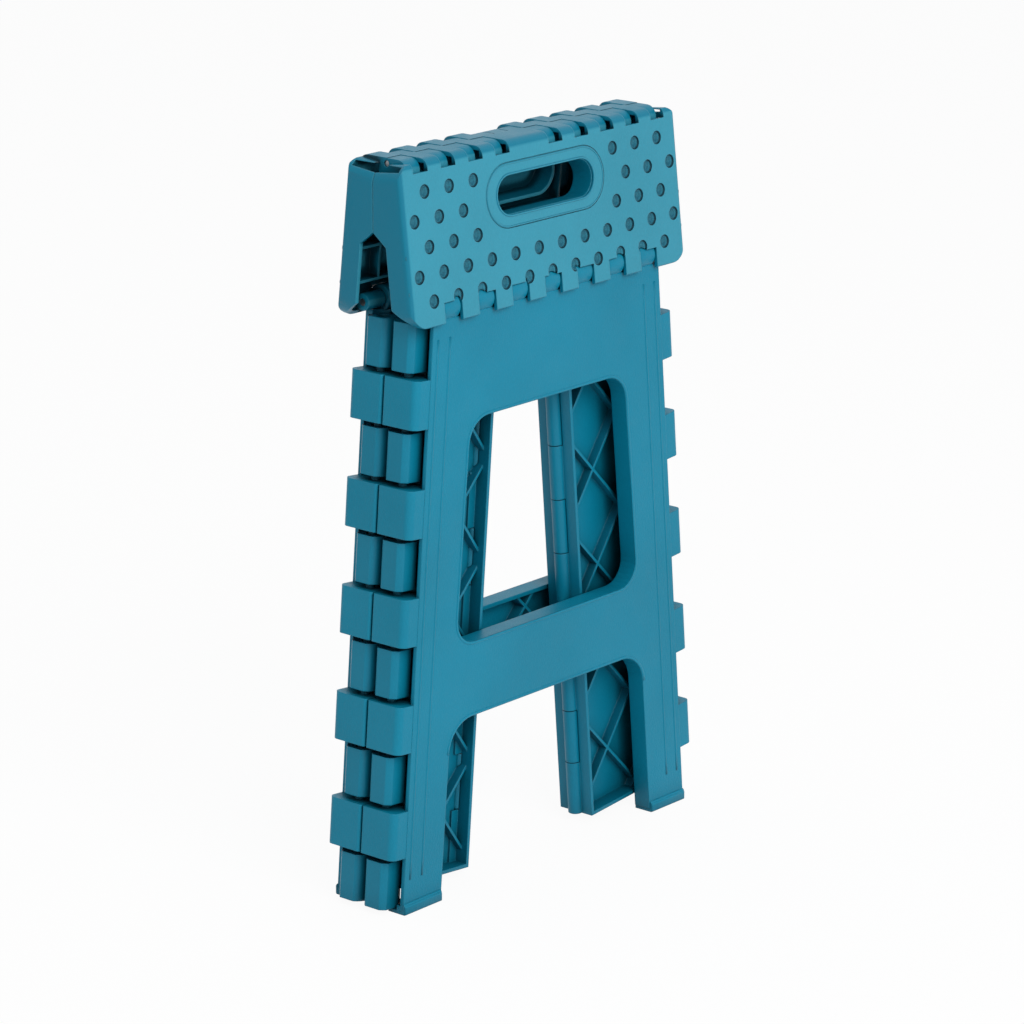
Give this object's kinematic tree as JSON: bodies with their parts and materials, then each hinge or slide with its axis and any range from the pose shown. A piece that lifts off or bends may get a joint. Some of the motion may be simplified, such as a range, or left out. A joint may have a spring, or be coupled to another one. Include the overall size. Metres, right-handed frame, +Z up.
{
  "type": "folding stool",
  "caption": "Teal plastic folding step stool, shown folded: ridge-hinged seat halves with a hand slot, open leg frames and inward folding side panels.",
  "frame": {"origin": "centre of the folded stool's footprint, on the floor", "axes": "+Z up; the front seat half and front leg face -Y; X runs along the seat's ridge"},
  "size_m": [0.3318, 0.071, 0.52],
  "materials": {
    "teal_plastic": "satin",
    "teal_plastic_light": "satin",
    "steel_rod": "satin"
  },
  "bodies": {
    "front_leg": {"front_leg": "teal_plastic", "seat_rod_front": "steel_rod", "corner_pin_front_left": "teal_plastic", "corner_pin_front_right": "teal_plastic", "foot_pad_front_left": "teal_plastic", "foot_pad_front_right": "teal_plastic"},
    "rear_leg": {"rear_leg": "teal_plastic", "seat_rod_rear": "steel_rod", "corner_pin_rear_left": "teal_plastic", "corner_pin_rear_right": "teal_plastic", "foot_pad_rear_left": "teal_plastic", "foot_pad_rear_right": "teal_plastic"},
    "seat_front": {"seat_front": "teal_plastic_light", "grip_ring": "teal_plastic_light", "ridge_rod": "steel_rod"},
    "seat_rear": {"seat_rear": "teal_plastic_light"},
    "side_panel_front_left": {"side_panel_front_left": "teal_plastic", "middle_pin_left": "teal_plastic"},
    "side_panel_front_right": {"side_panel_front_right": "teal_plastic", "middle_pin_right": "teal_plastic"},
    "side_panel_rear_left": {"side_panel_rear_left": "teal_plastic"},
    "side_panel_rear_right": {"side_panel_rear_right": "teal_plastic"}
  },
  "joints": [
    {"name": "seat_fold", "type": "hinge", "parent": "front_leg", "child": "seat_front", "pos_m": [0, -0.02456, 0.41813], "axis": [-1, 0, 0], "range_deg": [0, 83.6]},
    {"name": "ridge_fold", "type": "hinge", "parent": "seat_front", "child": "seat_rear", "pos_m": [0, 0, 0.516], "axis": [1, 0, 0], "range_deg": [0, 167.3]},
    {"name": "rear_leg_fold", "type": "hinge", "parent": "seat_rear", "child": "rear_leg", "pos_m": [0, 0.02456, 0.41813], "axis": [-1, 0, 0], "range_deg": [0, 83.7]},
    {"name": "left_panel_fold", "type": "hinge", "parent": "front_leg", "child": "side_panel_front_left", "pos_m": [-0.1563, -0.0123, 0], "axis": [0.0856, 0, 0.9963], "range_deg": [0, 90.1]},
    {"name": "right_panel_fold", "type": "hinge", "parent": "front_leg", "child": "side_panel_front_right", "pos_m": [0.1563, -0.0123, 0], "axis": [0.0856, 0, -0.9963], "range_deg": [0, 90.1]},
    {"name": "left_middle_fold", "type": "hinge", "parent": "side_panel_front_left", "child": "side_panel_rear_left", "pos_m": [-0.06889, 0, -0.00751], "axis": [-0.0856, 0, -0.9963], "range_deg": [0, 180.2]},
    {"name": "right_middle_fold", "type": "hinge", "parent": "side_panel_front_right", "child": "side_panel_rear_right", "pos_m": [0.06889, 0, -0.00751], "axis": [-0.0856, 0, 0.9963], "range_deg": [0, 180.2]}
  ],
  "couplings": [
    {"joint": "ridge_fold", "follows": "seat_fold", "ratio": 2},
    {"joint": "rear_leg_fold", "follows": "seat_fold", "ratio": 1},
    {"joint": "left_panel_fold", "follows": "seat_fold", "ratio": 1.0766},
    {"joint": "right_panel_fold", "follows": "seat_fold", "ratio": 1.0766},
    {"joint": "left_middle_fold", "follows": "seat_fold", "ratio": 2.1531},
    {"joint": "right_middle_fold", "follows": "seat_fold", "ratio": 2.1531}
  ]
}
